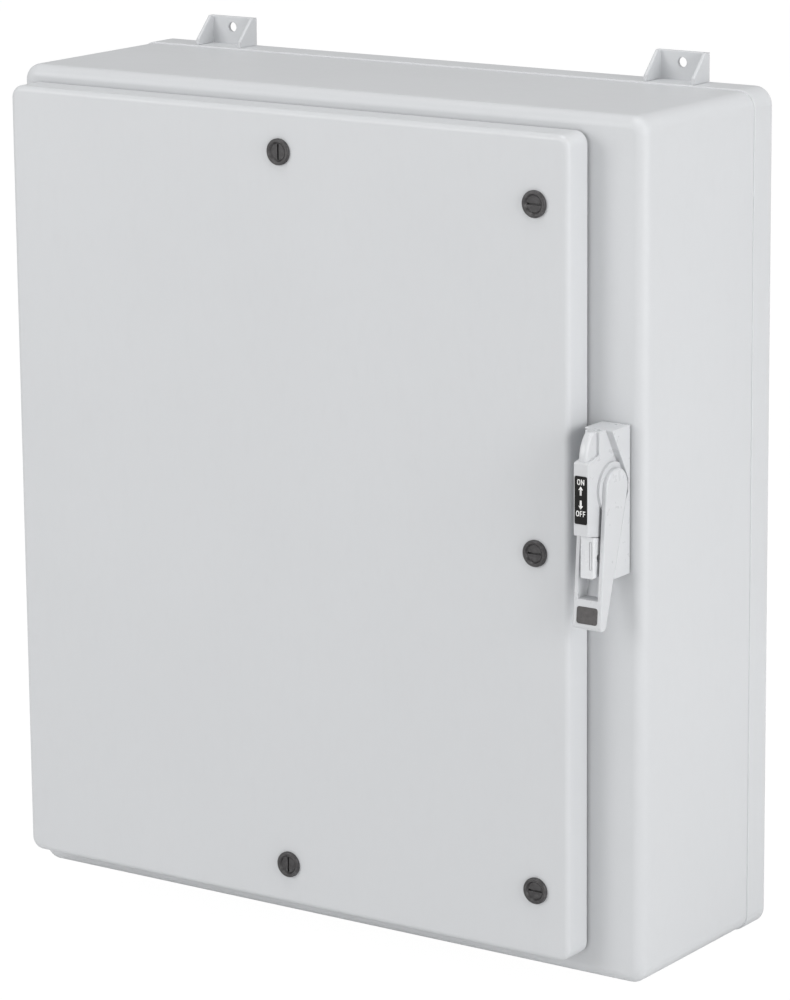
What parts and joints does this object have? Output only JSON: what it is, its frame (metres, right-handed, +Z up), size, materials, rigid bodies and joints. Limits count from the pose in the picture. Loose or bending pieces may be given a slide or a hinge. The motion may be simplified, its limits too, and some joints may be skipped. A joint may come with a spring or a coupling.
{
  "type": "ac disconnect box",
  "caption": "Wall-mounted moulded enclosure with a side-flange rotary disconnect handle, quarter-turn latched door, concealed hinges and a visible-blade switch inside.",
  "frame": {"origin": "centre of the four wall-bolt holes, on the wall plane at the back", "axes": "+X to the right seen from the front, +Y back into the wall, +Z up"},
  "size_m": [0.803, 0.3189, 0.9764],
  "materials": {
    "grp_shell": "light grey moulded glass-fibre polyester, satin",
    "grp_door": "light grey moulded glass-fibre polyester, satin",
    "grp_feet": "light grey moulded plastic",
    "gasket_foam": "closed-cell sponge",
    "pad_rubber": "thin flat rubber",
    "zinc_steel": "zinc plated",
    "stainless_steel": "bright stainless",
    "latch_black": "fine textured charcoal moulding",
    "handle_grey": "light grey semi-gloss moulding",
    "slide_white": "white semi-gloss moulding",
    "legend_black": "satin black plate",
    "insert_charcoal": "soft charcoal grip pad",
    "panel_white": "white powder coat",
    "switch_moulding": "dark thermoset moulding",
    "copper": "plain copper",
    "aluminium": "plain extruded",
    "clear_shield": "clear polycarbonate",
    "sheath_black": "black cable sheath",
    "crossbar_red": "red-brown insulating bar"
  },
  "bodies": {
    "enclosure": {"enclosure_body": "grp_shell", "mounting_feet": "grp_feet", "foot_screws": "stainless_steel", "hinge_body_leaves": "stainless_steel", "hinge_body_screws": "stainless_steel", "hinge_pins": "stainless_steel", "handle_gasket": "pad_rubber", "handle_housing": "handle_grey", "handle_housing_screws": "stainless_steel", "legend_plate": "legend_black", "pull_wires": "stainless_steel", "wire_conduits": "sheath_black", "conduit_nuts": "zinc_steel", "rotor_bracket": "zinc_steel", "back_panel": "panel_white", "panel_studs": "zinc_steel", "panel_nuts": "zinc_steel", "switch_base": "switch_moulding", "panel_screws": "zinc_steel", "line_terminals": "copper", "load_terminals": "copper", "blade_pins": "stainless_steel", "wire_lugs": "aluminium", "lug_screws": "zinc_steel", "line_shield": "clear_shield", "shield_screws": "zinc_steel", "ground_bar": "aluminium", "ground_studs": "zinc_steel", "ground_screws": "zinc_steel", "bolt_guide": "switch_moulding", "bolt_guide_screws": "zinc_steel"},
    "door": {"door_shell": "grp_door", "door_gasket": "gasket_foam", "hinge_door_leaves": "stainless_steel", "door_fitting_screws": "stainless_steel", "latch_bezels": "latch_black", "latch_nuts": "latch_black", "interlock_catch": "zinc_steel"},
    "handle": {"handle_yoke": "handle_grey", "handle_tip_insert": "insert_charcoal", "handle_shaft": "stainless_steel", "handle_drum": "zinc_steel"},
    "lock_slide": {"lock_slide": "slide_white"},
    "rotor": {"blades": "copper", "crossbar": "crossbar_red", "switch_drum": "zinc_steel"},
    "interlock_bolt": {"interlock_bolt": "stainless_steel"},
    "latch_upper_right": {"latch_core_upper_right": "latch_black", "latch_cam_upper_right": "zinc_steel"},
    "latch_middle_right": {"latch_core_middle_right": "latch_black", "latch_cam_middle_right": "zinc_steel"},
    "latch_lower_right": {"latch_core_lower_right": "latch_black", "latch_cam_lower_right": "zinc_steel"},
    "latch_top": {"latch_core_top": "latch_black", "latch_cam_top": "zinc_steel"},
    "latch_bottom": {"latch_core_bottom": "latch_black", "latch_cam_bottom": "zinc_steel"}
  },
  "joints": [
    {"name": "door_hinge", "type": "hinge", "parent": "enclosure", "child": "door", "pos_m": [-0.3755, -0.27, 0], "axis": [0, 0, -1], "range_deg": [0, 110]},
    {"name": "handle_turn", "type": "hinge", "parent": "enclosure", "child": "handle", "pos_m": [0.36775, -0.276, 0.081], "axis": [-1, 0, 0], "range_deg": [0, 130]},
    {"name": "blade_turn", "type": "hinge", "parent": "enclosure", "child": "rotor", "pos_m": [-0.01, -0.085, -0.06], "axis": [-1, 0, 0], "range_deg": [0, 90]},
    {"name": "interlock_bolt_slide", "type": "slide", "parent": "enclosure", "child": "interlock_bolt", "axis": [-1, 0, 0], "range_m": [0, 0.016]},
    {"name": "lock_slide_pull", "type": "slide", "parent": "enclosure", "child": "lock_slide", "axis": [0, -1, 0], "range_m": [0, 0.015]},
    {"name": "latch_upper_right_turn", "type": "hinge", "parent": "door", "child": "latch_upper_right", "pos_m": [0.2935, -0.265, 0.3651], "axis": [0, 1, 0], "range_deg": [0, 90]},
    {"name": "latch_middle_right_turn", "type": "hinge", "parent": "door", "child": "latch_middle_right", "pos_m": [0.2935, -0.265, 0.0033], "axis": [0, 1, 0], "range_deg": [0, 90]},
    {"name": "latch_lower_right_turn", "type": "hinge", "parent": "door", "child": "latch_lower_right", "pos_m": [0.2935, -0.265, -0.3585], "axis": [0, 1, 0], "range_deg": [0, 90]},
    {"name": "latch_top_turn", "type": "hinge", "parent": "door", "child": "latch_top", "pos_m": [-0.0245, -0.265, 0.3928], "axis": [0, 1, 0], "range_deg": [0, 90]},
    {"name": "latch_bottom_turn", "type": "hinge", "parent": "door", "child": "latch_bottom", "pos_m": [-0.0245, -0.265, -0.3862], "axis": [0, 1, 0], "range_deg": [0, 90]}
  ],
  "couplings": [
    {"joint": "blade_turn", "follows": "handle_turn", "ratio": 0.6923},
    {"joint": "interlock_bolt_slide", "follows": "handle_turn", "m_per_rad": 0.00705}
  ]
}
